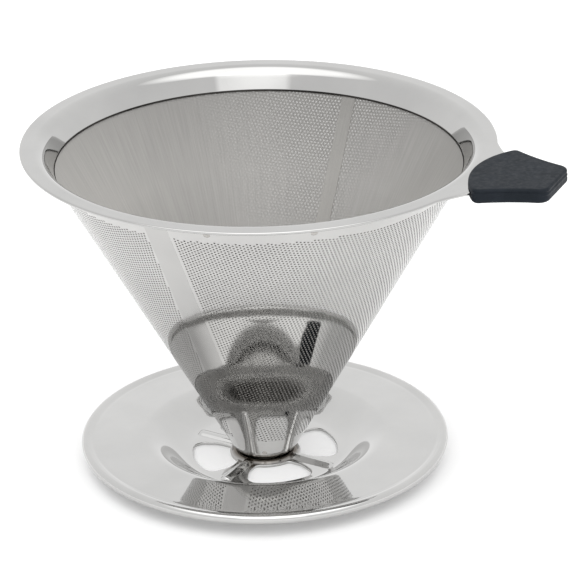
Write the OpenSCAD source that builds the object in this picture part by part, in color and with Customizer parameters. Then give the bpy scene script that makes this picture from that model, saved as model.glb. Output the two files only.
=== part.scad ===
// Pour-over coffee dripper: a double-walled steel filter cone with a flanged rim and a
// silicone grip on its tab, standing in a saucer-shaped stand that sits on a cup.
// Millimetres, +Z up. The origin is on the cone's axis, on the surface it stands on,
// and the grip points along +X.

/* [Rim] */
// Outer diameter of the flat flange around the mouth
rim_d = 125; // [120:1:130]
// Height of the flange's top face above the table
rim_h = 91.4; // [86:0.2:96]
// Thickness of the hemmed flange and its tab
flange_t = 0.8; // [0.6:0.1:1.2]
// Radius of the roll that turns the flange down into the sloping skirt
roll_r = 3.8; // [3.4:0.1:4.2]
// Height of the roll and the sloping skirt together
throat_h = 6.2; // [5.5:0.1:8]

/* [Filter cone] */
// Angle between the cone's side and its axis, in degrees
half_angle = 29; // [28.5:0.1:29.2]
// Diameter of the outer cone's side carried up to the flange's underside
cone_top_d = 114.5; // [114:0.5:115.5]
// Height of the outer cone's bottom edge above the table
cone_foot_z = 3; // [2.8:0.1:3.5]
// Thickness of the perforated outer sheet
outer_t = 0.3; // [0.2:0.05:0.35]
// Thickness of the woven inner mesh
mesh_t = 0.12; // [0.08:0.02:0.14]
// Thickness of the rim's roll and skirt
skirt_t = 0.3; // [0.2:0.05:0.35]

/* [Grip and tab] */
// Distance from the axis to the tab's free end
tab_end = 80; // [78:0.5:81]
// Half width of the tab at its free end
tab_end_w = 7; // [5:0.5:7]
// Thickness of the silicone grip
grip_t = 3.8; // [3:0.1:5]
// Clearance between the tab and the grip's pocket
pocket_gap = 0.1; // [0.05:0.05:0.2]

/* [Stand] */
// Diameter over the stand's rolled lip
stand_d = 99.8; // [97:0.2:102]
// Thickness of the stand's sheet
plate_t = 0.8; // [0.6:0.1:1]
// Radius of the flat floor of the well
well_r = 21; // [20.5:0.5:22]
// Radius at the top of the well's wall
wall_r = 33; // [31:0.5:35]
// Height of the flat ring's top face at its inner edge
ring_h = 6.7; // [6:0.1:8]
// Inner radius of the four drain holes
drain_in = 9.6; // [9.5:0.1:10]
// Outer radius of the four drain holes
drain_out = 19.8; // [19:0.1:20]
// Half of the angle that one drain hole spans, in degrees
drain_half = 30; // [25:1:32]
// Angle from the grip to the middle of the first drain hole, in degrees
stand_turn = 38.3; // [0:0.1:90]

/* [Welds] */
// Number of spot welds below the flange
rim_weld_count = 13; // [8:1:16]
// Number of spot welds around the tip
tip_weld_count = 4; // [3:1:6]
// Radius of one spot weld's mark
weld_r = 0.8; // [0.5:0.1:1]

/* [Hidden] */
$fn = 96;

steel = [0.80, 0.80, 0.79];
dark_steel = [0.62, 0.61, 0.59];
mesh_grey = [0.64, 0.63, 0.61];
silicone = [0.13, 0.14, 0.15];

// Levels of the rim
flange_z = rim_h - flange_t;
skirt_z = rim_h - throat_h;
hem_w = 3;

// The cone's slope, the height of its apex and the sideways size of a sheet's thickness
slope = tan(half_angle);
apex_z = flange_z - cone_top_d / 2 / slope;
side = 1 / cos(half_angle);

// The cap that closes the tip, and the socket that it drops into
cap_t = 0.5;
cap_top_z = 6;
shoulder_r = 6.6;
shoulder_z = 1.6;
spigot_r = 6;
socket_gap = 0.05;
socket_floor = 0.5;
socket_top = 1.2;
mesh_foot_z = cap_top_z + 0.2;
cone_top_z = flange_z - 0.7;
mesh_top_z = flange_z - 1.3;

// The collar around the stand's hub and the rolled lip
collar_r = 7.4;
collar_h = 1.65;
collar_foot_r = 9.5;
ring_r = 45.5;
ring_drop = 0.5;
lip_r = 0.9;
lip_c = [stand_d / 2 - lip_r - plate_t / 2, 5.3];
rib_r = 1.9;
rib_h = 0.9;
rib_in = 9.4;
rib_out = 20;

// The tab's outline leaves the flange here
tab_root = 58;
tab_root_w = 22.9;

// Radius of the outer cone's outer face at height z
function cone_r(z) = (z - apex_z) * slope;

// Radius at height z of a face that lies this deep inside the outer cone's outer face
function inside_r(z, depth) = cone_r(z) - depth * side;

// Points along an arc from angle a0 to a1
function arc(centre, r, a0, a1, n = 8) =
    [for (i = [0 : n]) let (a = a0 + (a1 - a0) * i / n) centre + r * [cos(a), sin(a)]];

// Points along a smooth S between two points, level at both ends
function s_curve(p, q, n = 12) =
    [for (i = [0 : n]) let (s = i / n) [
        p[0] + (q[0] - p[0]) * s,
        p[1] + (q[1] - p[1]) * s * s * (3 - 2 * s)
    ]];

// Unit vector across a path at point i, to the left of its direction
function across(path, i) =
    let (d = path[min(i + 1, len(path) - 1)] - path[max(i - 1, 0)])
    [-d[1], d[0]] / norm(d);

// Outline of a sheet of thickness t whose middle follows the path
function sheet(path, t) = concat(
    [for (i = [0 : len(path) - 1]) path[i] + across(path, i) * t / 2],
    [for (i = [len(path) - 1 : -1 : 0]) path[i] - across(path, i) * t / 2]);

// Outline of a ring sector from r0 to r1 and from -half to half, with round corners
function rounded_sector(r0, r1, half, c0, c1) =
    let (a1 = half - asin(c1 / (r1 - c1)), a0 = half - asin(c0 / (r0 + c0)))
    concat(
        arc([0, 0], r1, -a1, a1, 12),
        arc((r1 - c1) * [cos(a1), sin(a1)], c1, a1, half + 90, 6),
        arc((r0 + c0) * [cos(a0), sin(a0)], c0, half + 90, a0 + 180, 6),
        arc([0, 0], r0, a0, -a0, 6),
        arc((r0 + c0) * [cos(a0), -sin(a0)], c0, 180 - a0, 270 - half, 6),
        arc((r1 - c1) * [cos(a1), -sin(a1)], c1, -half - 90, -a1, 6));

// Half width of the tab at distance x from the axis
function tab_w(x) =
    tab_end_w + (tab_root_w - tab_end_w) * pow((tab_end - x) / (tab_end - tab_root), 2.5);

// Outline of the tab in plan, grown by a margin
module tab_outline(margin = 0) {
    corner = 3;
    steps = 12;
    inner_x = 50;
    edge = concat(
        [[inner_x, tab_root_w + margin]],
        [for (i = [0 : steps]) let (x = tab_root + (tab_end - corner - tab_root) * i / steps)
            [x, tab_w(x) + margin]],
        arc([tab_end - corner, tab_end_w - corner], corner + margin, 85, 0, 6));
    polygon(concat(edge, [for (i = [len(edge) - 1 : -1 : 0]) [edge[i][0], -edge[i][1]]]));
}

// Outline of the grip in plan: a bulging inner edge, hollow sides and a round-cornered end
module grip_outline() {
    upper = concat(
        arc([79.6, 6.17], 3.3, 0, 77, 6),
        arc([94.26, 61.54], 54, 255.1, 240.1, 6),
        arc([66.4, 13.1], 1.9, 61, 143.4, 6),
        arc([83.6, 0], 23.5, 143.4, 180, 6));
    polygon(concat(upper, [for (i = [len(upper) - 2 : -1 : 0]) [upper[i][0], -upper[i][1]]]));
}

// Marks of spot welds set evenly around the cone at height z
module weld_ring(z, count, turn) {
    mark_t = 0.3;
    for (i = [0 : count - 1])
        rotate([0, 0, turn + i * 360 / count])
            translate([cone_r(z), 0, z])
                rotate([0, 90 + half_angle, 0])
                    translate([0, 0, -mark_t / 2])
                        cylinder(r = weld_r, h = mark_t);
}

// Stamped ring: hemmed flange with its tab, a roll and the skirt that holds the cones
module rim_ring() {
    lining = outer_t + mesh_t + skirt_t;
    corner_r = inside_r(rim_h, lining);
    roll_c = [corner_r + roll_r * tan(45 - half_angle / 2), rim_h - roll_r];
    skirt_in = inside_r(skirt_z, lining);
    hem_r = rim_d / 2 - hem_w;
    profile = concat(
        arc([rim_d / 2 - flange_t / 2, rim_h - flange_t / 2], flange_t / 2, 90, -90, 8),
        [[hem_r, flange_z], [hem_r, rim_h - skirt_t]],
        arc(roll_c, roll_r - skirt_t, 90, 180 - half_angle, 10),
        [[skirt_in + skirt_t * side, skirt_z], [skirt_in, skirt_z]],
        arc(roll_c, roll_r, 180 - half_angle, 90, 12));
    color(steel) {
        rotate_extrude() polygon(profile);
        difference() {
            translate([0, 0, flange_z]) linear_extrude(flange_t) tab_outline();
            translate([0, 0, flange_z - 1])
                cylinder(r = rim_d / 2 - flange_t, h = flange_t + 2);
        }
    }
}

// Perforated outer sheet, shown here as a plain wall
module outer_cone() {
    color(steel) rotate_extrude() polygon([
        [cone_r(cone_foot_z), cone_foot_z],
        [cone_r(cone_top_z), cone_top_z],
        [inside_r(cone_top_z, outer_t), cone_top_z],
        [inside_r(cone_foot_z, outer_t), cone_foot_z]]);
}

// Woven inner mesh, lying against the outer sheet
module inner_mesh() {
    color(mesh_grey) rotate_extrude() polygon([
        [inside_r(mesh_foot_z, outer_t), mesh_foot_z],
        [inside_r(mesh_top_z, outer_t), mesh_top_z],
        [inside_r(mesh_top_z, outer_t + mesh_t), mesh_top_z],
        [inside_r(mesh_foot_z, outer_t + mesh_t), mesh_foot_z]]);
}

// Drawn cup that closes both cones at the tip and drops into the hub's socket
module tip_cap() {
    waist = inside_r(cone_foot_z, outer_t);
    inner_waist = waist - cap_t * side;
    color(dark_steel) rotate_extrude() polygon(concat(
        [[0, socket_floor], [spigot_r, socket_floor], [spigot_r, shoulder_z - 0.25],
        [shoulder_r, shoulder_z]],
        s_curve([waist - 0.9, cone_foot_z - 0.75], [waist, cone_foot_z], 4),
        [[inside_r(cap_top_z, outer_t), cap_top_z],
        [inside_r(cap_top_z, outer_t + cap_t), cap_top_z],
        [inner_waist, cone_foot_z],
        [spigot_r - cap_t, shoulder_z],
        [spigot_r - cap_t, socket_floor + cap_t],
        [0, socket_floor + cap_t]]));
}

// Marks of the spot welds that join the rim's skirt, the mesh and the outer cone
module rim_welds() {
    color(dark_steel) weld_ring(rim_h - 3.9, rim_weld_count, -78.9);
}

// Marks of the spot welds that join the outer cone to the tip cap
module tip_welds() {
    color(dark_steel) weld_ring(cone_foot_z + 1.6, tip_weld_count, -66);
}

// One stiffening rib along a spoke, clear of the table and hollow below
module rib(r) {
    rotate([0, 90, 0]) translate([0, 0, rib_in]) cylinder(r = r, h = rib_out - rib_in);
    for (x = [rib_in, rib_out]) translate([x, 0, 0]) sphere(r = r);
}

// Saucer-shaped stand: raised collar, flat well with four drain holes, flat ring, rolled lip
module stand_plate() {
    mid = plate_t / 2;
    rib_z = plate_t + rib_h - rib_r;
    path = concat(
        [[collar_r, collar_h - mid]],
        s_curve([collar_r + 0.4, collar_h - mid], [collar_foot_r, mid], 6),
        s_curve([well_r, mid], [wall_r, ring_h - mid], 14),
        [[ring_r, ring_h - ring_drop - mid]],
        s_curve([ring_r + 1, ring_h - ring_drop - mid], lip_c + lip_r * [-0.5, 0.866], 4),
        arc(lip_c, lip_r, 105, -110, 14));
    color(steel) difference() {
        union() {
            rotate_extrude() polygon(sheet(path, plate_t));
            intersection() {
                for (k = [0 : 3]) rotate([0, 0, stand_turn + 45 + 90 * k])
                    translate([0, 0, rib_z]) rib(rib_r);
                translate([0, 0, plate_t / 2]) cylinder(r = well_r + 2, h = 3);
            }
        }
        for (k = [0 : 3]) rotate([0, 0, stand_turn + 90 * k]) {
            translate([0, 0, -1]) linear_extrude(plate_t + 3)
                polygon(rounded_sector(drain_in, drain_out, drain_half, 1.8, 3));
            rotate([0, 0, 45]) translate([0, 0, rib_z]) rib(rib_r - plate_t);
        }
    }
}

// Closed socket under the collar that the tip drops into
module hub_socket() {
    color(dark_steel) rotate_extrude() polygon([
        [0, 0], [collar_r, 0], [collar_r, socket_top],
        [spigot_r + socket_gap, socket_top], [spigot_r + socket_gap, socket_floor],
        [0, socket_floor]]);
}

// Silicone sleeve pulled over the tab
module grip() {
    mid_z = rim_h - flange_t / 2;
    color(silicone) difference() {
        translate([0, 0, mid_z - grip_t / 2]) linear_extrude(grip_t) grip_outline();
        translate([0, 0, flange_z - pocket_gap])
            linear_extrude(flange_t + 2 * pocket_gap) {
                tab_outline(pocket_gap);
                circle(r = rim_d / 2 + pocket_gap);
            }
    }
}

rim_ring();
outer_cone();
inner_mesh();
tip_cap();
rim_welds();
tip_welds();
stand_plate();
hub_socket();
grip();
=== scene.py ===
"""Looks of a pour-over coffee dripper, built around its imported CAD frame.

All lengths below are in millimetres in the CAD frame (+Z up, +X towards the grip) and are
turned into metres only when a mesh is made.
"""

import math

import bpy
import numpy as np
from mathutils import Matrix, Vector

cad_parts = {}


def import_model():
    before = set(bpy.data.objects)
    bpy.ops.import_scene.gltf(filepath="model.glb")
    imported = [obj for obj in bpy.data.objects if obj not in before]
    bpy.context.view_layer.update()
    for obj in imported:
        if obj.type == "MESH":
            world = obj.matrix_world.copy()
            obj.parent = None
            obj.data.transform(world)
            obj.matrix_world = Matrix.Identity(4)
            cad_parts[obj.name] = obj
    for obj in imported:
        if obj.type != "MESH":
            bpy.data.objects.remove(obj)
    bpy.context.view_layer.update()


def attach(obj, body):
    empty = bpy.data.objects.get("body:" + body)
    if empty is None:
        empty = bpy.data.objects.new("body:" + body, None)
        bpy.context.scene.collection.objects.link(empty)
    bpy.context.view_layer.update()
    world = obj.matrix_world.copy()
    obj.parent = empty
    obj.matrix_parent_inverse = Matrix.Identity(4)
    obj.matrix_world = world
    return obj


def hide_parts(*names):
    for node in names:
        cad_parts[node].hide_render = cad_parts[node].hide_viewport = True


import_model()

MM = 0.001

# ---------------------------------------------------------------- sizes shared with the CAD
RIM_R, RIM_TOP, FLANGE_T = 62.5, 91.4, 0.8
FLANGE_Z = RIM_TOP - FLANGE_T
SKIRT_Z, ROLL_R, HEM_R = RIM_TOP - 6.2, 3.8, 59.5
CONE_TOP_Z = FLANGE_Z - 0.7
HALF_ANGLE = math.radians(29)
VIEW = math.radians(24.3)       # direction to the picture's right, from +X
SLOPE, SIDE = math.tan(HALF_ANGLE), 1 / math.cos(HALF_ANGLE)
APEX_Z = FLANGE_Z - 57.25 / SLOPE
CONE_FOOT_Z = 3.0
OUTER_T, MESH_T, SKIRT_T, CAP_T = 0.3, 0.12, 0.3, 0.5
TAB_END, TAB_END_W, TAB_ROOT, TAB_ROOT_W = 80.0, 7.0, 58.0, 22.9
CAP_TOP_Z, SHOULDER_R, SHOULDER_Z, SPIGOT_R = 6.0, 6.6, 1.6, 6.0
SOCKET_FLOOR, SOCKET_TOP, SOCKET_BORE = 0.5, 1.2, 6.05
COLLAR_R, COLLAR_H, COLLAR_FOOT_R = 7.4, 1.65, 9.5
WELL_R, WALL_R, RING_R, RING_H, RING_DROP = 21.0, 33.0, 45.5, 6.7, 0.5
PLATE_T, LIP_R, LIP_C = 0.8, 0.9, (48.6, 5.3)
DRAIN_IN, DRAIN_OUT, DRAIN_HALF, STAND_TURN = 9.6, 19.8, 30.0, 38.3
RIB_R, RIB_H, RIB_IN, RIB_OUT = 1.9, 0.9, 9.4, 20.0
GRIP_T, POCKET_GAP = 3.8, 0.1
GRIP_Z = RIM_TOP - FLANGE_T / 2
TAB_CORNER, TAB_TAPER = 3.0, 2.5        # rounding and how quickly the tab narrows

# ---------------------------------------------------------------- what the CAD doesn't draw
HOLE_PITCH, HOLE_R = 1.0, 0.29
FIELD = (24.8, 112.0)           # slant distances between which the outer sheet is perforated
SEAM_AZ, SEAM_HALF = -93.0, 3.25
LAP_AZ, LAP_HALF = 86.9, 2.0    # the mesh's overlap
PROUD = 0.012                   # how far the plain bands stand out from the perforated sheet
SECTORS = 6                     # pieces that the perforated sheet is made in
SHADE_LINE_TALL, SHADE_LINE_PROUD = 0.38, 0.02      # the painted shade line under the skirt
PAINTED_REFLECTION_R = 9.9             # painted reflection: the stand is coloured dark brown inside this distance from the axis
RIM_WELDS, RIM_WELD_Z, RIM_WELD_AZ = 13, RIM_TOP - 3.9, -78.9
TIP_WELDS, TIP_WELD_Z, TIP_WELD_AZ = 4, CONE_FOOT_Z + 1.6, -66.0
RIM_WELD_R, TIP_WELD_R = 0.8, 0.6

# ---------------------------------------------------------------- studio light
STUDIO, BACKDROP_GAIN, OVERHEAD_GAIN, BOX_GAIN = 1.05, 0.10, 1.1, 0.50
OVERHEAD_TILT, OVERHEAD_OUTER, OVERHEAD_INNER = 20, 43, 28      # degrees
OVERHEAD_CUT = (0.605, 0.635)           # the overhead light ends at this height (sine)
BOX_NEAR_SIDE, BOX_FAR_SIDE = (-0.37, -0.29), (0.51, 0.44)      # sideways over forwards
BOX_FOOT, BOX_FRONT = (0.34, 0.42), (0.3, 0.4)
FLOOR_SIZE, FLOOR_DROP, FLOOR_GLOW = 3000.0, 0.02, 0.17


def cone_r(z):
    """Radius of the outer cone's outer face at height z."""
    return (z - APEX_Z) * SLOPE


def inside_r(z, depth):
    """Radius at height z of a face lying this deep inside the outer cone's outer face."""
    return cone_r(z) - depth * SIDE


# ---------------------------------------------------------------- mesh helpers
def add_mesh(name, verts, faces, material, sharp=None):
    """Links a smooth-shaded mesh object; verts are in millimetres."""
    mesh = bpy.data.meshes.new(name)
    mesh.from_pydata([tuple(v) for v in np.asarray(verts) * MM], [], [tuple(f) for f in faces])
    mesh.validate()
    mesh.shade_smooth()
    if sharp is not None:
        mesh.set_sharp_from_angle(angle=math.radians(sharp))
    mesh.materials.append(material)
    obj = bpy.data.objects.new(name, mesh)
    bpy.context.scene.collection.objects.link(obj)
    return obj


def weld(verts, faces):
    """Merges vertices at the same place and drops faces that collapse."""
    key = np.round(np.asarray(verts), 4)
    uniq, inverse = np.unique(key, axis=0, return_inverse=True)
    inverse = inverse.reshape(-1)
    out = []
    for f in faces:
        ring = []
        for i in inverse[list(f)]:
            if i not in ring:
                ring.append(int(i))
        if len(ring) > 2:
            out.append(ring)
    return uniq, out


def fillet(points, radius, steps=5):
    """Rounds every corner of a closed outline. radius is one number or one for each corner."""
    pts = [np.array(p, float) for p in points]
    n = len(pts)
    radii = radius if hasattr(radius, "__len__") else [radius] * n
    out = []
    for i, p in enumerate(pts):
        a, b = pts[i - 1] - p, pts[(i + 1) % n] - p
        la, lb = np.linalg.norm(a), np.linalg.norm(b)
        a, b = a / la, b / lb
        half = math.acos(max(-1, min(1, float(a @ b)))) / 2
        if radii[i] <= 0 or half > math.radians(89):
            out.append(p)
            continue
        cut = min(radii[i] / math.tan(half), 0.45 * la, 0.45 * lb)
        r = cut * math.tan(half)
        mid = (a + b) / np.linalg.norm(a + b)
        centre = p + mid * r / math.sin(half)
        s, e = p + a * cut - centre, p + b * cut - centre
        a0 = math.atan2(s[1], s[0])
        turn = (math.atan2(e[1], e[0]) - a0 + math.pi) % (2 * math.pi) - math.pi
        for k in range(steps + 1):
            t = a0 + turn * k / steps
            out.append(centre + r * np.array([math.cos(t), math.sin(t)]))
    return np.array(out)


def revolve(profile, segments, start=0.0, closed=True):
    """Vertices and faces of a profile of (r, z) turned about the axis."""
    profile = np.asarray(profile, float)
    n = len(profile)
    az = np.radians(start) + np.arange(segments) * 2 * math.pi / segments
    verts = np.stack([np.outer(np.cos(az), profile[:, 0]), np.outer(np.sin(az), profile[:, 0]),
                      np.tile(profile[:, 1], (segments, 1))], axis=2).reshape(-1, 3)
    faces = []
    for i in range(segments):
        a, b = i * n, (i + 1) % segments * n
        for j in range(n if closed else n - 1):
            k = (j + 1) % n
            faces.append((a + j, b + j, b + k, a + k))
    return verts, faces


def turned(name, profile, material, segments=256, sharp=None):
    """A solid of revolution from a closed outline, which may touch the axis."""
    verts, faces = weld(*revolve(profile, segments))
    return add_mesh(name, verts, faces, material, sharp)


def arc(centre, r, a0, a1, n=8):
    t = np.radians(np.linspace(a0, a1, n + 1))
    return [(centre[0] + r * math.cos(a), centre[1] + r * math.sin(a)) for a in t]


def s_curve(p, q, n=12):
    out = []
    for i in range(n + 1):
        s = i / n
        out.append((p[0] + (q[0] - p[0]) * s, p[1] + (q[1] - p[1]) * s * s * (3 - 2 * s)))
    return out


# ---------------------------------------------------------------- material helpers
class Nodes:
    """A short way to write a material's node tree."""

    def __init__(self, name):
        self.mat = bpy.data.materials.new(name)
        self.mat.use_nodes = True
        self.tree = self.mat.node_tree
        self.shader = self.tree.nodes["Principled BSDF"]
        self.out = self.tree.nodes["Material Output"]

    def add(self, kind, inputs=None, **props):
        node = self.tree.nodes.new("ShaderNode" + kind)
        for key, value in props.items():
            setattr(node, key, value)
        for key, value in (inputs or {}).items():
            if isinstance(value, bpy.types.NodeSocket):
                self.tree.links.new(value, node.inputs[key])
            else:
                node.inputs[key].default_value = value
        return node

    def set(self, **values):
        for key, value in values.items():
            socket = self.shader.inputs[key.replace("_", " ")]
            if isinstance(value, bpy.types.NodeSocket):
                self.tree.links.new(value, socket)
            else:
                socket.default_value = value

    def noise(self, scale, stretch=(1, 1, 1), detail=3, rough=0.5, coords="Object"):
        place = self.add("TexCoord").outputs[coords]
        place = self.add("Mapping", {"Vector": place, "Scale": stretch}).outputs["Vector"]
        return self.add("TexNoise", {"Vector": place, "Scale": scale, "Detail": detail,
                                     "Roughness": rough}).outputs["Fac"]

    def spread(self, source, low, high, start=0.3, end=0.7):
        """source from start..end spread over low..high."""
        return self.add("MapRange", {"Value": source, "From Min": start, "From Max": end,
                                     "To Min": low, "To Max": high}).outputs["Result"]

    def shade(self, source, dark, light):
        """A colour between dark and light."""
        mix = self.add("Mix", data_type="RGBA")
        self.tree.links.new(source, mix.inputs["Factor"])
        mix.inputs["A"].default_value = (*dark, 1)
        mix.inputs["B"].default_value = (*light, 1)
        return mix.outputs["Result"]

    def bump(self, height, distance, strength=1.0, normal=None):
        inputs = {"Height": height, "Distance": distance * MM, "Strength": strength}
        if normal is not None:
            inputs["Normal"] = normal
        return self.add("Bump", inputs).outputs["Normal"]


def steel(name, dark, light, rough, wave=0.004, grain=0.0, painted_reflection_r=None):
    """Polished stainless: faint clouding, uneven polish, long soft waves and a fine grain.

    The last argument is the distance from the axis, in millimetres, inside which the colour is
    painted dark brown, for the dark cone reflected there.
    """
    m = Nodes(name)
    cloud = m.noise(55, detail=4)
    polish = m.noise(380, detail=5, rough=0.65)
    waves = m.noise(45, detail=1)
    normal = m.bump(waves, wave * 10)
    if grain:
        normal = m.bump(m.noise(5200, detail=2), grain, normal=normal)
    colour = m.shade(m.spread(cloud, 0, 1), dark, light)
    # painted reflection: the colour turns dark brown near the axis, standing for the cone reflected
    # round the collar
    if painted_reflection_r:
        flat = m.add("Mapping", {"Vector": m.add("TexCoord").outputs["Object"], "Scale": (1, 1, 0)})
        away = m.add("VectorMath", {0: flat.outputs["Vector"]}, operation="LENGTH").outputs["Value"]
        mix = m.add("Mix", {"Factor": m.spread(away, 0, 1, (painted_reflection_r - 1.4) * MM, painted_reflection_r * MM)},
                    data_type="RGBA")
        mix.inputs["A"].default_value = (*PAINTED_COLLAR_REFLECTION, 1)
        m.tree.links.new(colour, mix.inputs["B"])
        colour = mix.outputs["Result"]
    m.set(Base_Color=colour, Metallic=1.0,
          Roughness=m.spread(polish, rough * 0.8, rough * 1.35), Normal=normal)
    return m.mat


# painted reflection: the dark brown that stands for the cone reflected round the collar
PAINTED_COLLAR_REFLECTION = (0.13, 0.115, 0.10)
STAND = steel("stand_steel", (0.51, 0.508, 0.502), (0.555, 0.552, 0.545), 0.04,
              painted_reflection_r=PAINTED_REFLECTION_R)
# painted shade: near-black steel for the strip standing for the shadow under the skirt
GAP_SHADE = steel("painted_gap_shade", (0.02, 0.019, 0.018), (0.05, 0.047, 0.044), 0.5, grain=0.01)
MIRROR = steel("polished_steel", (0.455, 0.453, 0.447), (0.495, 0.492, 0.485), 0.04)
PERFORATED = steel("perforated_steel", (0.52, 0.515, 0.507), (0.56, 0.555, 0.545), 0.05, wave=0.002)
DRAWN = steel("drawn_steel", (0.31, 0.295, 0.275), (0.40, 0.385, 0.36), 0.14, grain=0.004)
SEAM = steel("welded_seam", (0.455, 0.45, 0.443), (0.495, 0.49, 0.48), 0.06, wave=0.012)
WELD = steel("weld_marks", (0.34, 0.33, 0.31), (0.52, 0.50, 0.48), 0.25, grain=0.01)


def woven(name, see_through_left, see_through_right, dark, light):
    """Fine woven wire: warm grey, streaked up the slope, with painted shade just below the rim, a
    painted sheen at low angles and painted see-through light towards the camera's right.
    """
    m = Nodes(name)
    uv = m.add("UVMap", uv_map="developed").outputs["UV"]
    streak = m.add("Mapping", {"Vector": uv, "Scale": (2.6, 0.06, 1.0)}).outputs["Vector"]
    streaks = m.add("TexNoise", {"Vector": streak, "Scale": 0.9, "Detail": 4.0,
                                 "Roughness": 0.6}).outputs["Fac"]
    warp = m.add("TexWave", {"Vector": uv, "Scale": 0.9, "Distortion": 0.2},
                 wave_type="BANDS", bands_direction="X").outputs["Fac"]
    weft = m.add("TexWave", {"Vector": uv, "Scale": 0.9, "Distortion": 0.2},
                 wave_type="BANDS", bands_direction="Y").outputs["Fac"]
    cross = m.add("Math", {0: warp, 1: weft}, operation="MULTIPLY").outputs[0]
    height = m.add("SeparateXYZ", {0: m.add("TexCoord").outputs["Object"]}).outputs["Z"]
    painted_rim_shade = m.spread(height, 1.0, 0.76, 66 * MM, 84 * MM)   # painted shade: darker just below the rim, where the rim shades the mesh
    slant = m.add("LayerWeight", {"Blend": 0.5}).outputs["Facing"]
    sheen = m.spread(slant, 0.87, 1.4, 0.0, 0.8)            # painted sheen: the base colour is lightened where the mesh is seen at a low angle
    gain = m.add("Math", {0: painted_rim_shade, 1: sheen}, operation="MULTIPLY").outputs[0]
    colour = m.add("VectorMath", {0: m.shade(m.spread(streaks, 0, 1), dark, light),
                                  "Scale": gain}, operation="SCALE").outputs["Vector"]
    m.set(Base_Color=colour, Metallic=0.3, Roughness=m.spread(streaks, 0.42, 0.55),
          Normal=m.bump(cross, 0.03, 0.5))
    # painted light: the mesh lets more of the white studio through towards the camera's right, less
    # towards its left
    place = m.add("TexCoord").outputs["Object"]
    right = m.add("VectorMath", {0: place, 1: (math.cos(VIEW), math.sin(VIEW), 0.0)},
                  operation="DOT_PRODUCT").outputs["Value"]
    clear = m.add("BsdfTransparent")
    mix = m.add("MixShader", {"Fac": m.spread(right, see_through_left, see_through_right, -38 * MM, 20 * MM)})
    m.tree.links.new(m.shader.outputs[0], mix.inputs[1])
    m.tree.links.new(clear.outputs[0], mix.inputs[2])
    m.tree.links.new(mix.outputs[0], m.out.inputs["Surface"])
    return m.mat


def silicone():
    """Matte moulded silicone with a fine skin and a little dust."""
    m = Nodes("silicone")
    skin = m.noise(3200, detail=3)
    pores = m.noise(900, detail=4)
    dust = m.noise(140, detail=5, rough=0.7)
    m.set(Base_Color=m.shade(m.spread(dust, 0, 1, 0.35, 0.75), (0.005, 0.008, 0.012),
                             (0.011, 0.015, 0.021)),
          Roughness=m.spread(pores, 0.46, 0.62), Specular_IOR_Level=0.15,
          Normal=m.bump(skin, 0.012, normal=m.bump(pores, 0.02)))
    return m.mat


MESH = woven("woven_mesh", 0.10, 0.43, (0.415, 0.405, 0.39), (0.50, 0.49, 0.47))
MESH_LAP = woven("woven_mesh_double", 0.02, 0.05, (0.37, 0.36, 0.345), (0.43, 0.42, 0.40))
SILICONE = silicone()


# ---------------------------------------------------------------- rim ring with its tab
def tab_edge(samples, gap, corner_start):
    """The tab's edge on the +Y side as (x, y), this far outside the tab, to its end face."""
    xs = np.linspace(TAB_ROOT, TAB_END - TAB_CORNER, samples)
    narrow = ((TAB_END - xs) / (TAB_END - TAB_ROOT)) ** TAB_TAPER
    ws = TAB_END_W + (TAB_ROOT_W - TAB_END_W) * narrow
    centre = (TAB_END - TAB_CORNER, TAB_END_W - TAB_CORNER)
    return list(zip(xs, ws + gap)) + arc(centre, TAB_CORNER + gap, corner_start, 0, 10)


def tab_reach(az):
    """Distance from the axis to the edge of the flange or the tab in a direction, in degrees."""
    edge = np.array(tab_edge(60, 0.0, 85) + [(TAB_END, 0.0)])
    angle = np.degrees(np.arctan2(edge[:, 1], edge[:, 0]))
    reach = np.hypot(edge[:, 0], edge[:, 1])
    order = np.argsort(angle)
    out = np.interp(abs(az), angle[order], reach[order], right=RIM_R)
    return max(RIM_R, float(out))


def throat():
    """The ring's section inside its hem: roll, skirt with a rounded edge, and back up."""
    lining = OUTER_T + MESH_T
    up = np.array([math.sin(HALF_ANGLE), math.cos(HALF_ANGLE)])
    inward = np.array([-math.cos(HALF_ANGLE), math.sin(HALF_ANGLE)])
    roll_c = (inside_r(RIM_TOP, lining + SKIRT_T) + ROLL_R * math.tan(math.pi / 4 - HALF_ANGLE / 2),
              RIM_TOP - ROLL_R)
    slant = 180 - math.degrees(HALF_ANGLE)
    foot = np.array([cone_r(SKIRT_Z), SKIRT_Z])
    out = arc(roll_c, ROLL_R - SKIRT_T, 90, slant, 24)
    centre = foot + up * SKIRT_T + inward * lining
    for k in range(9):
        t = math.radians(90 * k / 8)
        out.append(tuple(centre + SKIRT_T * (inward * math.sin(t) - up * math.cos(t))))
    face = foot + inward * (lining + SKIRT_T)
    out += [tuple(face + up * k) for k in (0.34, 0.6, 1.2, 2.4, 3.6)]
    return out + arc(roll_c, ROLL_R, slant, 90, 32)


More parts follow.
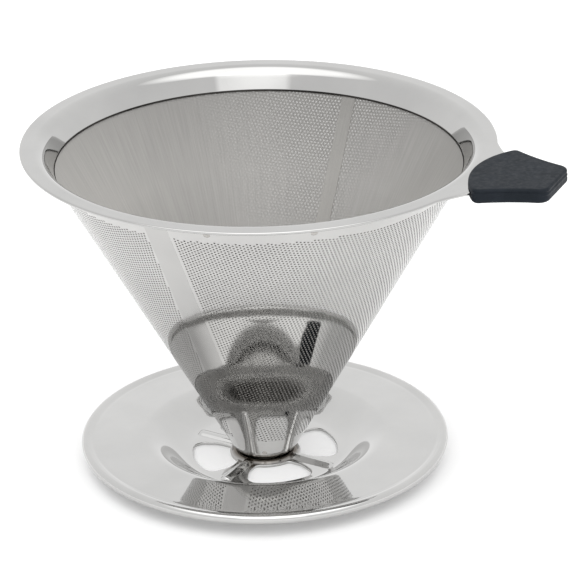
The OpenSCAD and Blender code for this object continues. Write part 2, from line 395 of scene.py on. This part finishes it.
def skirt_shade_line():
    """Painted shade: a dark strip for the shadow in the gap under the skirt's cut edge, widest at
    the back.
    """
    depth, segments = OUTER_T + MESH_T + SHADE_LINE_PROUD, 256
    rows = [(inside_r(z, depth), z) for z in (SKIRT_Z - SHADE_LINE_PROUD, SKIRT_Z + SHADE_LINE_TALL)]
    across = SKIRT_T * math.cos(HALF_ANGLE), SKIRT_T * math.sin(HALF_ANGLE)
    rows += [(r - across[0], z + across[1]) for r, z in rows[::-1]]
    verts, faces = revolve(rows, segments)
    verts = verts.reshape(segments, 4, 3)
    # the painted shade is widest away from the camera and narrows towards it
    az = np.arange(segments) * 2 * math.pi / segments - VIEW - math.pi / 2
    narrowest, fade_start, fade = 0.15, 0.05, 0.4
    wide = np.clip((np.cos(az) - fade_start) / fade, 0, 1)[:, None]
    wide = wide * (1 - narrowest) + narrowest
    verts[:, 1] = verts[:, 0] + (verts[:, 1] - verts[:, 0]) * wide
    verts[:, 2] = verts[:, 3] + (verts[:, 2] - verts[:, 3]) * wide
    return add_mesh("rim_ring_cut_edge", verts.reshape(-1, 3), faces, GAP_SHADE, 40)


def rim_ring():
    r_edge = FLANGE_T / 2
    inner = [(HEM_R, FLANGE_Z), (HEM_R, RIM_TOP - SKIRT_T)] + throat()
    az = np.concatenate([np.linspace(-24, 24, 193)[:-1], np.linspace(24, 336, 625)[:-1]])
    rows = []
    for a in az:
        reach = tab_reach((a + 180) % 360 - 180)
        mids = np.linspace(HEM_R + 0.3, reach - r_edge, 6)
        top = [(r, RIM_TOP) for r in mids[:-1]]
        edge = arc((reach - r_edge, RIM_TOP - r_edge), r_edge, 90, -90, 10)
        under = [(r, FLANGE_Z) for r in mids[-2::-1]]
        section = np.array(top + edge + under + inner)
        c, s = math.cos(math.radians(a)), math.sin(math.radians(a))
        rows.append(np.stack([section[:, 0] * c, section[:, 0] * s, section[:, 1]], axis=1))
    n, m = len(rows), len(rows[0])
    faces = [(i * m + j, (i + 1) % n * m + j, (i + 1) % n * m + (j + 1) % m, i * m + (j + 1) % m)
             for i in range(n) for j in range(m)]
    return add_mesh("rim_ring_polished", np.concatenate(rows), faces, MIRROR, 50)


# ---------------------------------------------------------------- outer cone
def cone_point(s, phi, depth):
    """A point of the cone's wall: slant distance s, angle phi in the flat pattern."""
    az = math.radians(SEAM_AZ) + phi / math.sin(HALF_ANGLE)
    r = s * math.sin(HALF_ANGLE) - depth * math.cos(HALF_ANGLE)
    z = APEX_Z + s * math.cos(HALF_ANGLE) + depth * math.sin(HALF_ANGLE)
    return np.stack([r * np.cos(az), r * np.sin(az), z], axis=-1), az


def perforated_sectors(count):
    """The perforated field as closed sheets of hexagonal cells, each with or without a hole."""
    full = 2 * math.pi * math.sin(HALF_ANGLE)
    half_row = HOLE_PITCH * math.sqrt(3) / 2
    lim = int(FIELD[1] / half_row) + 3
    jj, ii = np.meshgrid(np.arange(0, lim), np.arange(-2 * lim, 2 * lim), indexing="ij")
    x = (ii + 0.5 * (jj % 2)) * HOLE_PITCH
    y = jj * half_row + 0.1
    s, phi = np.hypot(x, y), np.arctan2(y, x)
    other = np.abs(x * math.sin(full) - y * math.cos(full))
    edge = np.minimum(np.where(phi < math.pi / 2, y, 99), np.where(phi > math.pi / 2, other, 99))
    cell = (s > FIELD[0] - 1.2) & (s < FIELD[1] + 1.2) & (phi < full) & (edge > SEAM_HALF - 1.6)
    cell &= phi > 0
    holed = cell & (s > FIELD[0] + 0.4) & (s < FIELD[1] - 0.4) & (edge > SEAM_HALF + HOLE_R + 0.1)
    sector = (phi / full * count).astype(int)
    corner_az = np.radians(30 + 60 * np.arange(6))
    hexagon = np.stack([np.cos(corner_az), np.sin(corner_az)], axis=1)
    objs = []
    for k in range(count):
        pick = cell & (sector == k)
        centres = np.stack([x[pick], y[pick]], axis=1)
        open_ = holed[pick]
        n = len(centres)
        outer = centres[:, None] + hexagon[None] * HOLE_PITCH / math.sqrt(3)
        flat, corner = np.unique(np.round(outer.reshape(-1, 2), 3), axis=0, return_inverse=True)
        corner = corner.reshape(n, 6)
        hole_c = centres[open_]
        ring = (hole_c[:, None] + hexagon[None] * HOLE_R).reshape(-1, 2)
        plane = np.concatenate([flat, ring])
        ps, pphi = np.hypot(plane[:, 0], plane[:, 1]), np.arctan2(plane[:, 1], plane[:, 0])
        top, az = cone_point(ps, pphi, 0.0)
        low, _ = cone_point(ps, pphi, OUTER_T)
        total = len(plane)
        base = len(flat) + 6 * np.arange(len(hole_c))
        ring_i = base[:, None] + np.arange(6)[None]
        nxt = np.roll(np.arange(6), -1)
        co, rn = corner[open_], ring_i
        top_q = np.stack([co, co[:, nxt], rn[:, nxt], rn], axis=2).reshape(-1, 4)
        low_q = top_q[:, ::-1] + total
        wall_q = np.stack([rn, rn[:, nxt], rn[:, nxt] + total, rn + total], axis=2).reshape(-1, 4)
        solid = corner[~open_]
        plain_q = np.concatenate([solid[:, [0, 1, 2, 3]], solid[:, [0, 3, 4, 5]]])
        plain_low = plain_q[:, ::-1] + total
        edges = np.stack([corner, corner[:, nxt]], axis=2).reshape(-1, 2)
        key = np.sort(edges, axis=1)
        _, first, times = np.unique(key, axis=0, return_index=True, return_counts=True)
        border = edges[first[times == 1]]
        side_q = np.stack([border[:, 1], border[:, 0], border[:, 0] + total,
                           border[:, 1] + total], axis=1)
        parts = [top_q, low_q, plain_q, plain_low, wall_q, side_q]
        kind = np.concatenate([np.full(len(p), c) for p, c in zip(parts, (1, -1, 1, -1, 0, 0))])
        quads = np.concatenate(parts)[:, ::-1]          # the flat pattern is seen from inside
        verts = np.concatenate([top, low])
        out_n = np.stack([np.cos(az) * math.cos(HALF_ANGLE), np.sin(az) * math.cos(HALF_ANGLE),
                          np.full(len(az), -math.sin(HALF_ANGLE))], axis=1)
        out_n = np.concatenate([out_n, out_n])
        objs.append(quad_mesh(f"outer_cone_perforated_{k + 1}", verts, quads, kind, out_n))
    return objs


def quad_mesh(name, verts, quads, kind, out_n):
    """A mesh of quads whose skin faces take the cone's own normals and whose walls stay flat."""
    mesh = bpy.data.meshes.new(name)
    mesh.vertices.add(len(verts))
    mesh.vertices.foreach_set("co", (verts * MM).astype(np.float32).ravel())
    mesh.loops.add(quads.size)
    mesh.loops.foreach_set("vertex_index", quads.astype(np.int32).ravel())
    mesh.polygons.add(len(quads))
    mesh.polygons.foreach_set("loop_start", np.arange(0, quads.size, 4, dtype=np.int32))
    mesh.update(calc_edges=True)
    mesh.shade_smooth()
    p = verts[quads]
    flat_n = np.cross(p[:, 2] - p[:, 0], p[:, 3] - p[:, 1])
    flat_n /= np.maximum(np.linalg.norm(flat_n, axis=1, keepdims=True), 1e-9)
    skin = out_n[quads] * kind[:, None, None]
    normals = np.where(kind[:, None, None] == 0, flat_n[:, None, :], skin)
    mesh.normals_split_custom_set(normals.reshape(-1, 3).tolist())
    mesh.materials.append(PERFORATED)
    obj = bpy.data.objects.new(name, mesh)
    bpy.context.scene.collection.objects.link(obj)
    return obj


def cone_band(name, z0, z1, proud, material):
    """A plain closed band of the cone, a hair proud of the perforated sheet on both faces."""
    def at(z, depth):
        return (inside_r(z, depth), z)
    deep = OUTER_T + proud / 2
    return turned(name, [at(z0, -proud), at(z1, -proud), at(z1, deep), at(z0, deep)], material,
                  360, 40)


def cone_strip(name, az, half, z0, z1, depths, material):
    """A strip of constant width up the cone, closed, between two depths in the wall."""
    ss = np.linspace((z0 - APEX_Z) * SIDE, (z1 - APEX_Z) * SIDE, 60)
    ys = np.linspace(-half, half, 17)
    grids = []
    for depth in depths:
        s, y = np.meshgrid(ss, ys, indexing="ij")
        phi = np.arcsin(y / s)
        pts, _ = cone_point(s, phi + math.radians(az - SEAM_AZ) * math.sin(HALF_ANGLE), depth)
        grids.append(pts)
    n, m = len(ss), len(ys)
    verts = np.concatenate([g.reshape(-1, 3) for g in grids])
    faces = []
    for i in range(n - 1):
        for j in range(m - 1):
            a = i * m + j
            faces.append((a, a + 1, a + m + 1, a + m))
            faces.append((a + n * m + m, a + n * m + m + 1, a + n * m + 1, a + n * m))
    rim = [(i, 0) for i in range(n)] + [(n - 1, j) for j in range(1, m)]
    rim += [(i, m - 1) for i in range(n - 2, -1, -1)] + [(0, j) for j in range(m - 2, 0, -1)]
    for k, (i, j) in enumerate(rim):
        i2, j2 = rim[(k + 1) % len(rim)]
        a, b = i * m + j, i2 * m + j2
        faces.append((a, b, b + n * m, a + n * m))
    obj = add_mesh(name, verts, faces, material, 40)
    uv = obj.data.uv_layers.new(name="developed")
    s_all = np.concatenate([np.repeat(ss, m)] * 2)
    y_all = np.concatenate([np.tile(ys, n)] * 2)
    loops = np.zeros(len(obj.data.loops), np.int32)
    obj.data.loops.foreach_get("vertex_index", loops)
    uv.data.foreach_set("uv", np.stack([y_all[loops], s_all[loops]], axis=1).ravel())
    return obj


# ---------------------------------------------------------------- inner mesh
def inner_mesh():
    """The woven lining, with the way round and the way up the slope as its UV layer."""
    zs = np.linspace(CAP_TOP_Z + 0.2, FLANGE_Z - 1.3, 40)
    outer = [(inside_r(z, OUTER_T), z) for z in zs]
    inner = [(inside_r(z, OUTER_T + MESH_T), z) for z in zs[::-1]]
    segments = 360
    verts, faces = revolve(outer + inner, segments)
    obj = add_mesh("inner_mesh_woven", verts, faces, MESH, 40)
    n = len(outer) + len(inner)
    uv = obj.data.uv_layers.new(name="developed")
    loops = np.zeros(len(obj.data.loops), np.int32)
    obj.data.loops.foreach_get("vertex_index", loops)
    col, row = loops // n, loops % n
    first = np.zeros(len(obj.data.polygons), np.int32)
    obj.data.polygons.foreach_get("loop_start", first)
    lead = np.repeat(col[first], 4)
    col = np.where((lead == segments - 1) & (col == 0), segments, col)
    z = np.array([p[1] for p in outer + inner])[row]
    s = (z - APEX_Z) / math.cos(HALF_ANGLE)
    phi = col / segments * 2 * math.pi * math.sin(HALF_ANGLE)
    uv.data.foreach_set("uv", np.stack([phi * 80, s], axis=1).ravel())
    return obj


# ---------------------------------------------------------------- tip and welds
def tip_cap():
    waist = inside_r(CONE_FOOT_Z, OUTER_T)
    waist_in = waist - CAP_T * SIDE
    shape = fillet([(SPIGOT_R, SOCKET_FLOOR), (SPIGOT_R, SHOULDER_Z - 0.05),
                    (SHOULDER_R + 0.55, SHOULDER_Z), (waist + 0.12, CONE_FOOT_Z - 0.35),
                    (inside_r(CAP_TOP_Z, OUTER_T + 0.02), CAP_TOP_Z),
                    (inside_r(CAP_TOP_Z, OUTER_T + CAP_T), CAP_TOP_Z),
                    (waist_in, CONE_FOOT_Z - 0.1), (SPIGOT_R - CAP_T, SHOULDER_Z + CAP_T),
                    (SPIGOT_R - CAP_T, SOCKET_FLOOR + CAP_T)],
                   [0.15, 0.1, 0.9, 1.6, 0.1, 0.1, 1.2, 0.4, 0.3], 8)
    shape = [(0, SOCKET_FLOOR)] + [tuple(p) for p in shape] + [(0, SOCKET_FLOOR + CAP_T)]
    return turned("tip_cap_drawn", shape, DRAWN, 200, 50)


def weld_marks(name, z, count, turn, radius):
    """Spot-weld dimples: a low ring pressed round a shallow dish."""
    rings = [(radius * 1.15, -0.02), (radius * 1.1, 0.02), (radius * 0.92, 0.05),
             (radius * 0.7, 0.03), (radius * 0.4, -0.002), (radius * 0.15, -0.008)]
    segments = 28
    verts, faces = [], []
    for k in range(count):
        az = math.radians(turn + 360 / count * k)
        out = np.array([math.cos(az) * math.cos(HALF_ANGLE), math.sin(az) * math.cos(HALF_ANGLE),
                        -math.sin(HALF_ANGLE)])
        across = np.array([-math.sin(az), math.cos(az), 0])
        up = np.cross(out, across)
        mid = np.array([cone_r(z) * math.cos(az), cone_r(z) * math.sin(az), z])
        base = len(verts)
        for r, h in rings + [(radius * 1.15, -0.12)]:
            for i in range(segments):
                t = 2 * math.pi * i / segments
                dx, dy = r * math.cos(t), r * math.sin(t)
                sag = dx * dx / (2 * cone_r(z))
                verts.append(mid + across * dx + up * dy + out * (h - sag + 0.02))
        n = len(rings)
        for j in range(n - 1):
            for i in range(segments):
                a, b = base + j * segments + i, base + j * segments + (i + 1) % segments
                faces.append((a, b, b + segments, a + segments))
        faces.append([base + (n - 1) * segments + i for i in range(segments)])
        for i in range(segments):
            a, b = base + i, base + (i + 1) % segments
            c = base + n * segments
            faces.append((b, a, c + i, c + (i + 1) % segments))
        faces.append([base + n * segments + i for i in range(segments - 1, -1, -1)])
    return add_mesh(name, verts, faces, WELD, 60)


# ---------------------------------------------------------------- stand
def plate_path():
    """Middle of the saucer's sheet from the floor's outer edge to the end of the rolled lip."""
    mid = PLATE_T / 2
    path = s_curve((WELL_R, mid), (WALL_R, RING_H - mid), 40)
    path += [(r, RING_H - mid - RING_DROP * (r - WALL_R) / (RING_R - WALL_R))
             for r in np.linspace(WALL_R, RING_R, 14)[1:]]
    top = (LIP_C[0] + LIP_R * math.cos(math.radians(112)),
           LIP_C[1] + LIP_R * math.sin(math.radians(112)))
    path += s_curve((RING_R + 0.3, RING_H - mid - RING_DROP), (RING_R + 1.3, 5.72), 5)[1:]
    path += s_curve((RING_R + 1.3, 5.72), top, 6)[1:]
    path += arc(LIP_C, LIP_R, 105, -110, 30)
    return np.array(path)


def offset_sheet(path, t):
    """Closed outline of a sheet about a path, its far end rounded."""
    d = np.gradient(path, axis=0)
    d /= np.linalg.norm(d, axis=1, keepdims=True)
    nrm = np.stack([-d[:, 1], d[:, 0]], axis=1)
    end, e = path[-1], d[-1]
    ang = math.degrees(math.atan2(nrm[-1][1], nrm[-1][0]))
    cap = arc(end, t / 2, ang, ang - 180, 8)[1:-1]
    return path + nrm * t / 2, np.array(cap), path - nrm * t / 2


def rib_height(x, y, radius):
    """Height of the nearest rib's crest line shape at (x, y), or far below where there is none."""
    best = np.full(x.shape, -9.0)
    centre_z = PLATE_T + RIB_H - RIB_R
    for k in range(4):
        a = math.radians(STAND_TURN - 45 + 90 * k)
        along = x * math.cos(a) + y * math.sin(a)
        off = -x * math.sin(a) + y * math.cos(a)
        past = np.maximum(np.maximum(RIB_IN - along, along - RIB_OUT), 0)
        sq = radius ** 2 - off ** 2 - past ** 2
        h = np.where(sq > 0, np.sqrt(np.maximum(sq, 0)) + centre_z, -9.0)
        best = np.maximum(best, np.where(along > 0, h, -9.0))
    return best


def soft_max(a, b, k):
    h = np.maximum(k - np.abs(a - b), 0) / k
    return np.maximum(a, b) + h * h * k / 4


def floor_heights(x, y):
    """Top and bottom of the well's floor, collar and ribs at (x, y)."""
    r = np.hypot(x, y)
    start = COLLAR_R + 0.4
    s = np.clip((r - start) / (COLLAR_FOOT_R - start), 0, 1)
    high, low = COLLAR_H - PLATE_T / 2, PLATE_T / 2
    mid = high + (low - high) * s * s * (3 - 2 * s)
    slope = (low - high) / (COLLAR_FOOT_R - start) * 6 * s * (1 - s)
    t = PLATE_T / 2 * np.sqrt(1 + slope ** 2)
    top = soft_max(mid + t, rib_height(x, y, RIB_R), 0.35)
    under = soft_max(mid - t, rib_height(x, y, RIB_R - PLATE_T), 0.2)
    edge = np.abs(r - WELL_R) < 1e-6
    return np.where(edge, PLATE_T, top), np.where(edge, 0.0, under)


def drain_outline():
    """Outline of one drain hole about +X, as (x, y)."""
    c1, c0 = 3.0, 1.8
    a1 = DRAIN_HALF - math.degrees(math.asin(c1 / (DRAIN_OUT - c1)))
    a0 = DRAIN_HALF - math.degrees(math.asin(c0 / (DRAIN_IN + c0)))

    def at(r, a):
        return (r * math.cos(math.radians(a)), r * math.sin(math.radians(a)))
    pts = arc((0, 0), DRAIN_OUT, -a1, a1, 60)
    pts += arc(at(DRAIN_OUT - c1, a1), c1, a1, DRAIN_HALF + 90, 24)
    pts += arc(at(DRAIN_IN + c0, a0), c0, DRAIN_HALF + 90, a0 + 180, 24)
    pts += arc((0, 0), DRAIN_IN, a0, -a0, 40)
    pts += arc(at(DRAIN_IN + c0, -a0), c0, 180 - a0, 270 - DRAIN_HALF, 24)
    pts += arc(at(DRAIN_OUT - c1, -a1), c1, -DRAIN_HALF - 90, -a1, 24)
    return np.array(pts)


def stand_plate():
    verts, faces = [], []
    collar = COLLAR_R + 0.4
    outline = drain_outline()
    centre = np.array([14.6, 0.0])
    rel = outline - centre
    ang = np.degrees(np.arctan2(rel[:, 1], rel[:, 0]))
    order = np.argsort(ang)
    ang, reach = ang[order], np.hypot(rel[:, 0], rel[:, 1])[order]
    arcs, spokes = 90, 34
    rr = np.linspace(collar, WELL_R, spokes + 1)
    half = math.radians(45)
    sweep = np.linspace(-half, half, arcs + 1)
    loop = [(collar * math.cos(a), collar * math.sin(a)) for a in sweep]
    loop += [(r * math.cos(half), r * math.sin(half)) for r in rr[1:]]
    loop += [(WELL_R * math.cos(a), WELL_R * math.sin(a)) for a in sweep[::-1][1:]]
    loop += [(r * math.cos(half), -r * math.sin(half)) for r in rr[::-1][1:-1]]
    loop = np.array(loop)
    to = loop - centre
    la = np.degrees(np.arctan2(to[:, 1], to[:, 0]))
    hole_r = np.interp(la, ang, reach, period=360)
    unit = to / np.linalg.norm(to, axis=1, keepdims=True)
    hole = centre + unit * hole_r[:, None]
    edge_r = 0.22
    near = hole + unit * edge_r
    steps = 1 - (1 - np.linspace(0, 1, 15)) ** 0.8
    for q in range(4):
        turn = math.radians(STAND_TURN + 90 * q)
        spin = np.array([[math.cos(turn), -math.sin(turn)], [math.sin(turn), math.cos(turn)]])
        rows = []
        for s in steps[:-1]:
            p = (loop + (near - loop) * s) @ spin.T
            rows.append((p, "top", 0.0))
        for k in range(6):
            t = math.radians(90 * k / 5)
            p = (near - unit * edge_r * math.sin(t)) @ spin.T
            rows.append((p, "top", edge_r * (1 - math.cos(t))))
        for k in range(5, -1, -1):
            t = math.radians(90 * k / 5)
            p = (near - unit * edge_r * math.sin(t)) @ spin.T
            rows.append((p, "under", -edge_r * (1 - math.cos(t))))
        for s in steps[-2::-1]:
            p = (loop + (near - loop) * s) @ spin.T
            rows.append((p, "under", 0.0))
        base, n = len(verts), len(loop)
        for p, side, drop in rows:
            top, under = floor_heights(p[:, 0], p[:, 1])
            z = (top if side == "top" else under) - drop
            verts.extend(np.column_stack([p, z]))
        for i in range(len(rows) - 1):
            for j in range(n):
                a, b = base + i * n + j, base + i * n + (j + 1) % n
                faces.append((a, a + n, b + n, b))
    # collar's inner edge
    ring = [(collar, COLLAR_H), (COLLAR_R + 0.15, COLLAR_H)]
    ring += arc((COLLAR_R + 0.3, COLLAR_H - 0.3), 0.3, 90, 180, 6)
    ring += arc((COLLAR_R + 0.3, COLLAR_H - PLATE_T + 0.3), 0.3, 180, 270, 6)
    ring += [(collar, COLLAR_H - PLATE_T)]
    v, f = revolve(ring, 360, STAND_TURN - 45, closed=False)
    faces += [tuple(i + len(verts) for i in q) for q in f]
    verts.extend(v)
    # well wall, flat ring and rolled lip
    top, cap, under = offset_sheet(plate_path(), PLATE_T)
    top[0], under[0] = (WELL_R, PLATE_T), (WELL_R, 0.0)
    section = np.concatenate([top, cap, under[::-1]])
    v, f = revolve(section, 360, STAND_TURN - 45, closed=False)
    faces += [tuple(i + len(verts) for i in q)[::-1] for q in f]
    verts.extend(v)
    verts, faces = weld(np.array(verts), faces)
    return add_mesh("stand_plate_polished", verts, faces, STAND)


def hub_socket():
    shape = fillet([(SOCKET_BORE, SOCKET_FLOOR), (SOCKET_BORE, SOCKET_TOP), (COLLAR_R, SOCKET_TOP),
                    (COLLAR_R, 0.0)], [0.15, 0.2, 0.1, 0.1], 5)
    shape = [(0, SOCKET_FLOOR)] + [tuple(p) for p in shape] + [(0, 0)]
    return turned("hub_socket_drawn", shape, DRAWN, 180, 50)


# ---------------------------------------------------------------- grip
def grip_outline():
    """Outline of the grip in plan, once round, starting at the middle of its free end."""
    upper = arc((79.6, 6.17), 3.3, 0, 77, 14) + arc((94.26, 61.54), 54, 255.1, 240.1, 40)
    upper += arc((66.4, 13.1), 1.9, 61, 143.4, 16) + arc((83.6, 0), 23.5, 143.4, 180, 46)
    upper = [(82.9, 0), (82.9, 3.0)] + upper
    lower = [(x, -y) for x, y in upper[::-1][1:-1]]
    pts = np.array(upper + lower)
    # even spacing
    loop = np.vstack([pts, pts[:1]])
    d = np.concatenate([[0], np.cumsum(np.linalg.norm(np.diff(loop, axis=0), axis=1))])
    t = np.linspace(0, d[-1], 301)[:-1]
    return np.column_stack([np.interp(t, d, loop[:, 0]), np.interp(t, d, loop[:, 1])])


def grip():
    line = grip_outline()
    n = len(line)
    tangent = np.roll(line, -2, axis=0) - np.roll(line, 2, axis=0)
    tangent /= np.linalg.norm(tangent, axis=1, keepdims=True)
    inward = np.column_stack([-tangent[:, 1], tangent[:, 0]])
    half = GRIP_T / 2
    section = [(0.1 + d, z) for d, z in arc((0.7, half - 0.7), 0.7, 90, 180, 8)]
    # a groove under the top edge, the mould's parting ridge at half height, a plain lower side
    section += [(0.2, 1.08), (0.27, 0.98), (0.24, 0.82), (0.08, 0.55), (0.0, 0.38), (0.0, 0.2),
                (0.1, 0.08), (0.08, -0.2), (0.0, -0.6)]
    section += arc((0.9, 0.9 - half), 0.9, 180, 270, 8)
    rows = []
    mid_x = 71.5
    fills = [0.97, 0.9, 0.75, 0.55, 0.35, 0.18]
    first = line + inward * section[0][0]
    centre = np.array([mid_x, 0.0])
    for f in fills[::-1]:
        rows.append(np.column_stack([centre + (first - centre) * f, np.full(n, GRIP_Z + half)]))
    for d, z in section:
        rows.append(np.column_stack([line + inward * d, np.full(n, GRIP_Z + z)]))
    for f in fills:
        rows.append(np.column_stack([centre + (first - centre) * f, np.full(n, GRIP_Z - half)]))
    verts = np.concatenate(rows)
    faces = []
    for i in range(len(rows) - 1):
        for j in range(n):
            a, b = i * n + j, i * n + (j + 1) % n
            faces.append((a, a + n, b + n, b))
    last = (len(rows) - 1) * n
    faces.append(list(range(n)))
    faces.append([last + j for j in range(n - 1, -1, -1)])
    return cut(add_mesh("grip_silicone", verts, faces, SILICONE), pocket())


def pocket():
    """The slot in the grip that the tab slides into, as a solid to cut away."""
    half = tab_edge(40, POCKET_GAP, 80)
    line = half + [(x, -y) for x, y in half[::-1]]
    n, deep = len(line), FLANGE_T / 2 + POCKET_GAP
    verts = [(x, y, GRIP_Z + z) for z in (-deep, deep) for x, y in line]
    faces = [(i, i + n, (i + 1) % n + n, (i + 1) % n) for i in range(n)]
    faces += [tuple(range(n)), tuple(range(2 * n - 1, n - 1, -1))]
    return add_mesh("grip_pocket", verts, faces, SILICONE)


def cut(obj, tool):
    """Takes tool out of obj, for good, and drops tool."""
    change = obj.modifiers.new("cut", "BOOLEAN")
    change.operation, change.solver, change.object = "DIFFERENCE", "EXACT", tool
    graph = bpy.context.evaluated_depsgraph_get()
    mesh = bpy.data.meshes.new_from_object(obj.evaluated_get(graph))
    obj.modifiers.clear()
    obj.data = mesh
    mesh.set_sharp_from_angle(angle=math.radians(60))
    bpy.data.objects.remove(tool)
    return obj


# ---------------------------------------------------------------- build everything
def place(obj, body, slot, *nodes):
    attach(obj, body)
    if nodes:
        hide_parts(*nodes)


place(rim_ring(), "filter", "polished_steel", "rim_ring")
place(skirt_shade_line(), "filter", "polished_steel")
for sheet in perforated_sectors(SECTORS):
    place(sheet, "filter", "perforated_steel", "outer_cone")
field_low = APEX_Z + FIELD[0] * math.cos(HALF_ANGLE)
field_high = APEX_Z + FIELD[1] * math.cos(HALF_ANGLE)
place(cone_band("outer_cone_top_band", field_high - 0.2, CONE_TOP_Z, PROUD, PERFORATED),
      "filter", "perforated_steel")
place(cone_band("outer_cone_foot_band", CONE_FOOT_Z, field_low + 0.2, PROUD, PERFORATED),
      "filter", "perforated_steel")
place(cone_strip("outer_cone_seam", SEAM_AZ, SEAM_HALF, CONE_FOOT_Z + 0.1, CONE_TOP_Z,
                 (-0.02, OUTER_T + 0.006), SEAM), "filter", "perforated_steel")
place(inner_mesh(), "filter", "woven_mesh", "inner_mesh")
place(cone_strip("inner_mesh_lap", LAP_AZ, LAP_HALF, CAP_TOP_Z + 1, SKIRT_Z,
                 (OUTER_T + MESH_T + 0.01, OUTER_T + 2 * MESH_T), MESH_LAP),
      "filter", "woven_mesh")
place(tip_cap(), "filter", "drawn_steel", "tip_cap")
place(weld_marks("rim_weld_marks", RIM_WELD_Z, RIM_WELDS, RIM_WELD_AZ, RIM_WELD_R),
      "filter", "weld_marks", "rim_welds")
place(weld_marks("tip_weld_marks", TIP_WELD_Z, TIP_WELDS, TIP_WELD_AZ, TIP_WELD_R),
      "filter", "weld_marks", "tip_welds")
place(stand_plate(), "stand", "polished_steel", "stand_plate")
place(hub_socket(), "stand", "drawn_steel", "hub_socket")
place(grip(), "grip", "silicone", "grip")


# ---------------------------------------------------------------- floor, light and camera
def floor():
    m = Nodes("floor_white")
    grain = m.noise(40, detail=4)
    m.set(Base_Color=m.shade(m.spread(grain, 0, 1), (0.83, 0.83, 0.83), (0.85, 0.85, 0.85)),
          Roughness=0.8, Specular_IOR_Level=0.1, Emission_Color=(1, 1, 1, 1),
          Emission_Strength=FLOOR_GLOW)
    corners = [(-1, -1), (1, -1), (1, 1), (-1, 1)]
    obj = add_mesh("floor", [(x * FLOOR_SIZE, y * FLOOR_SIZE, -FLOOR_DROP) for x, y in corners],
                   [(0, 1, 2, 3)], m.mat)


def from_view(x, y, z):
    """A direction or place given as seen from the camera (x right, y away, z up)."""
    return (x * math.cos(VIEW) - y * math.sin(VIEW), x * math.sin(VIEW) + y * math.cos(VIEW), z)


def world():
    """An even white studio with a large soft overhead light and a softbox behind the camera."""
    studio = bpy.data.worlds.new("studio")
    bpy.context.scene.world = studio
    studio.use_nodes = True
    tree = studio.node_tree
    back = tree.nodes["Background"]

    def math_node(operation, a, b, **props):
        node = tree.nodes.new("ShaderNodeMath")
        node.operation = operation
        for socket, value in zip(node.inputs, (a, b)):
            if isinstance(value, bpy.types.NodeSocket):
                tree.links.new(value, socket)
            else:
                socket.default_value = value
        node.use_clamp = props.get("clamp", False)
        return node.outputs[0]

    way = tree.nodes.new("ShaderNodeTexCoord").outputs["Generated"]

    def along(direction):
        node = tree.nodes.new("ShaderNodeVectorMath")
        node.operation = "DOT_PRODUCT"
        tree.links.new(way, node.inputs[0])
        node.inputs[1].default_value = direction
        return node.outputs["Value"]

    def step(value, start, end):
        """0 before start, 1 after end."""
        gain = 1 / (end - start)
        return math_node("ADD", math_node("MULTIPLY", value, gain), -start * gain, clamp=True)

    tilt = math.radians(OVERHEAD_TILT)
    right, near, up = along(from_view(1, 0, 0)), along(from_view(0, -1, 0)), along((0, 0, 1))
    over = step(along(from_view(0, -math.sin(tilt), math.cos(tilt))),
                math.cos(math.radians(OVERHEAD_OUTER)), math.cos(math.radians(OVERHEAD_INNER)))
    over = math_node("MULTIPLY", over, step(up, *OVERHEAD_CUT))
    swing = math_node("DIVIDE", right, math_node("MAXIMUM", near, 0.05))
    box = math_node("MULTIPLY", step(swing, *BOX_NEAR_SIDE), step(swing, *BOX_FAR_SIDE))
    box = math_node("MULTIPLY", box, step(up, *BOX_FOOT))
    box = math_node("MULTIPLY", box, step(near, *BOX_FRONT))
    light = math_node("ADD", math_node("MULTIPLY", over, OVERHEAD_GAIN),
                      math_node("MULTIPLY", box, BOX_GAIN))
    backdrop = math_node("MULTIPLY", math_node("MAXIMUM", math_node("MULTIPLY", near, -1.0), 0.0),
                         BACKDROP_GAIN)
    light = math_node("ADD", light, backdrop)
    tree.links.new(math_node("ADD", light, STUDIO), back.inputs["Strength"])
    back.inputs["Color"].default_value = (1, 1, 1, 1)


def camera():
    """The picture's camera: fitted to the rim, the cone and the stand."""
    turn, elevation, roll = VIEW, math.radians(24.082), math.radians(-0.978)
    distance, aim_x, aim_up, lens = 827.412, 8.588, 40.291, 185.29
    body = Matrix.Rotation(turn, 4, "Z") @ Matrix.Rotation(math.pi / 2 - elevation, 4, "X")
    right, up, back = (body.col[i].xyz for i in range(3))
    at = (back * distance + right * aim_x + up * aim_up + Vector((0, 0, 3.0))) * MM
    data = bpy.data.cameras.new("camera")
    data.lens, data.sensor_width = lens, 36
    data.clip_end = 20
    obj = bpy.data.objects.new("camera", data)
    obj.matrix_world = Matrix.Translation(at) @ body @ Matrix.Rotation(roll, 4, "Z")
    bpy.context.scene.collection.objects.link(obj)
    bpy.context.scene.camera = obj


floor()
world()
camera()
bpy.context.scene.view_settings.view_transform = "Standard"
